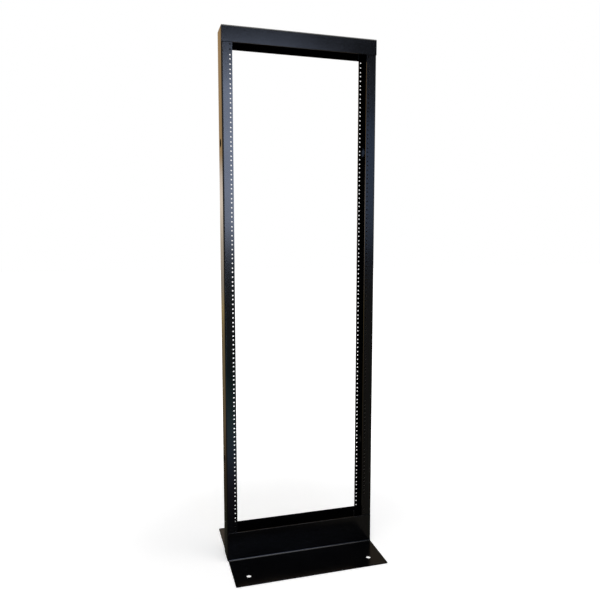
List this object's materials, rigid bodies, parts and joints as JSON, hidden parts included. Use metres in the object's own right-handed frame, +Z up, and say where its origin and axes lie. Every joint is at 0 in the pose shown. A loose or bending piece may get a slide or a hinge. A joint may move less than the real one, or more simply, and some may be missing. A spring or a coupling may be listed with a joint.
{
  "type": "two post open frame rack",
  "caption": "Free-standing open frame rack: two channel posts with unit holes under a top channel, on two base angles drilled for floor anchors.",
  "frame": {"origin": "on the floor, midway between the posts and between front and back", "axes": "X to the right, Y to the back, Z up"},
  "size_m": [0.521, 0.389, 1.7512],
  "materials": {
    "black_powder_coat": "semi-gloss black powder coat with a fine orange-peel texture",
    "weld_bead": "the same powder coat over a rippled weld bead"
  },
  "bodies": {
    "root": {"left_post": "black_powder_coat", "right_post": "black_powder_coat", "top_channel": "black_powder_coat", "front_base_angle": "black_powder_coat", "rear_base_angle": "black_powder_coat", "front_left_base_weld": "weld_bead", "front_right_base_weld": "weld_bead", "rear_left_base_weld": "weld_bead", "rear_right_base_weld": "weld_bead", "front_left_top_weld": "weld_bead", "front_right_top_weld": "weld_bead", "rear_left_top_weld": "weld_bead", "rear_right_top_weld": "weld_bead", "left_end_weld": "weld_bead", "right_end_weld": "weld_bead"}
  },
  "joints": []
}
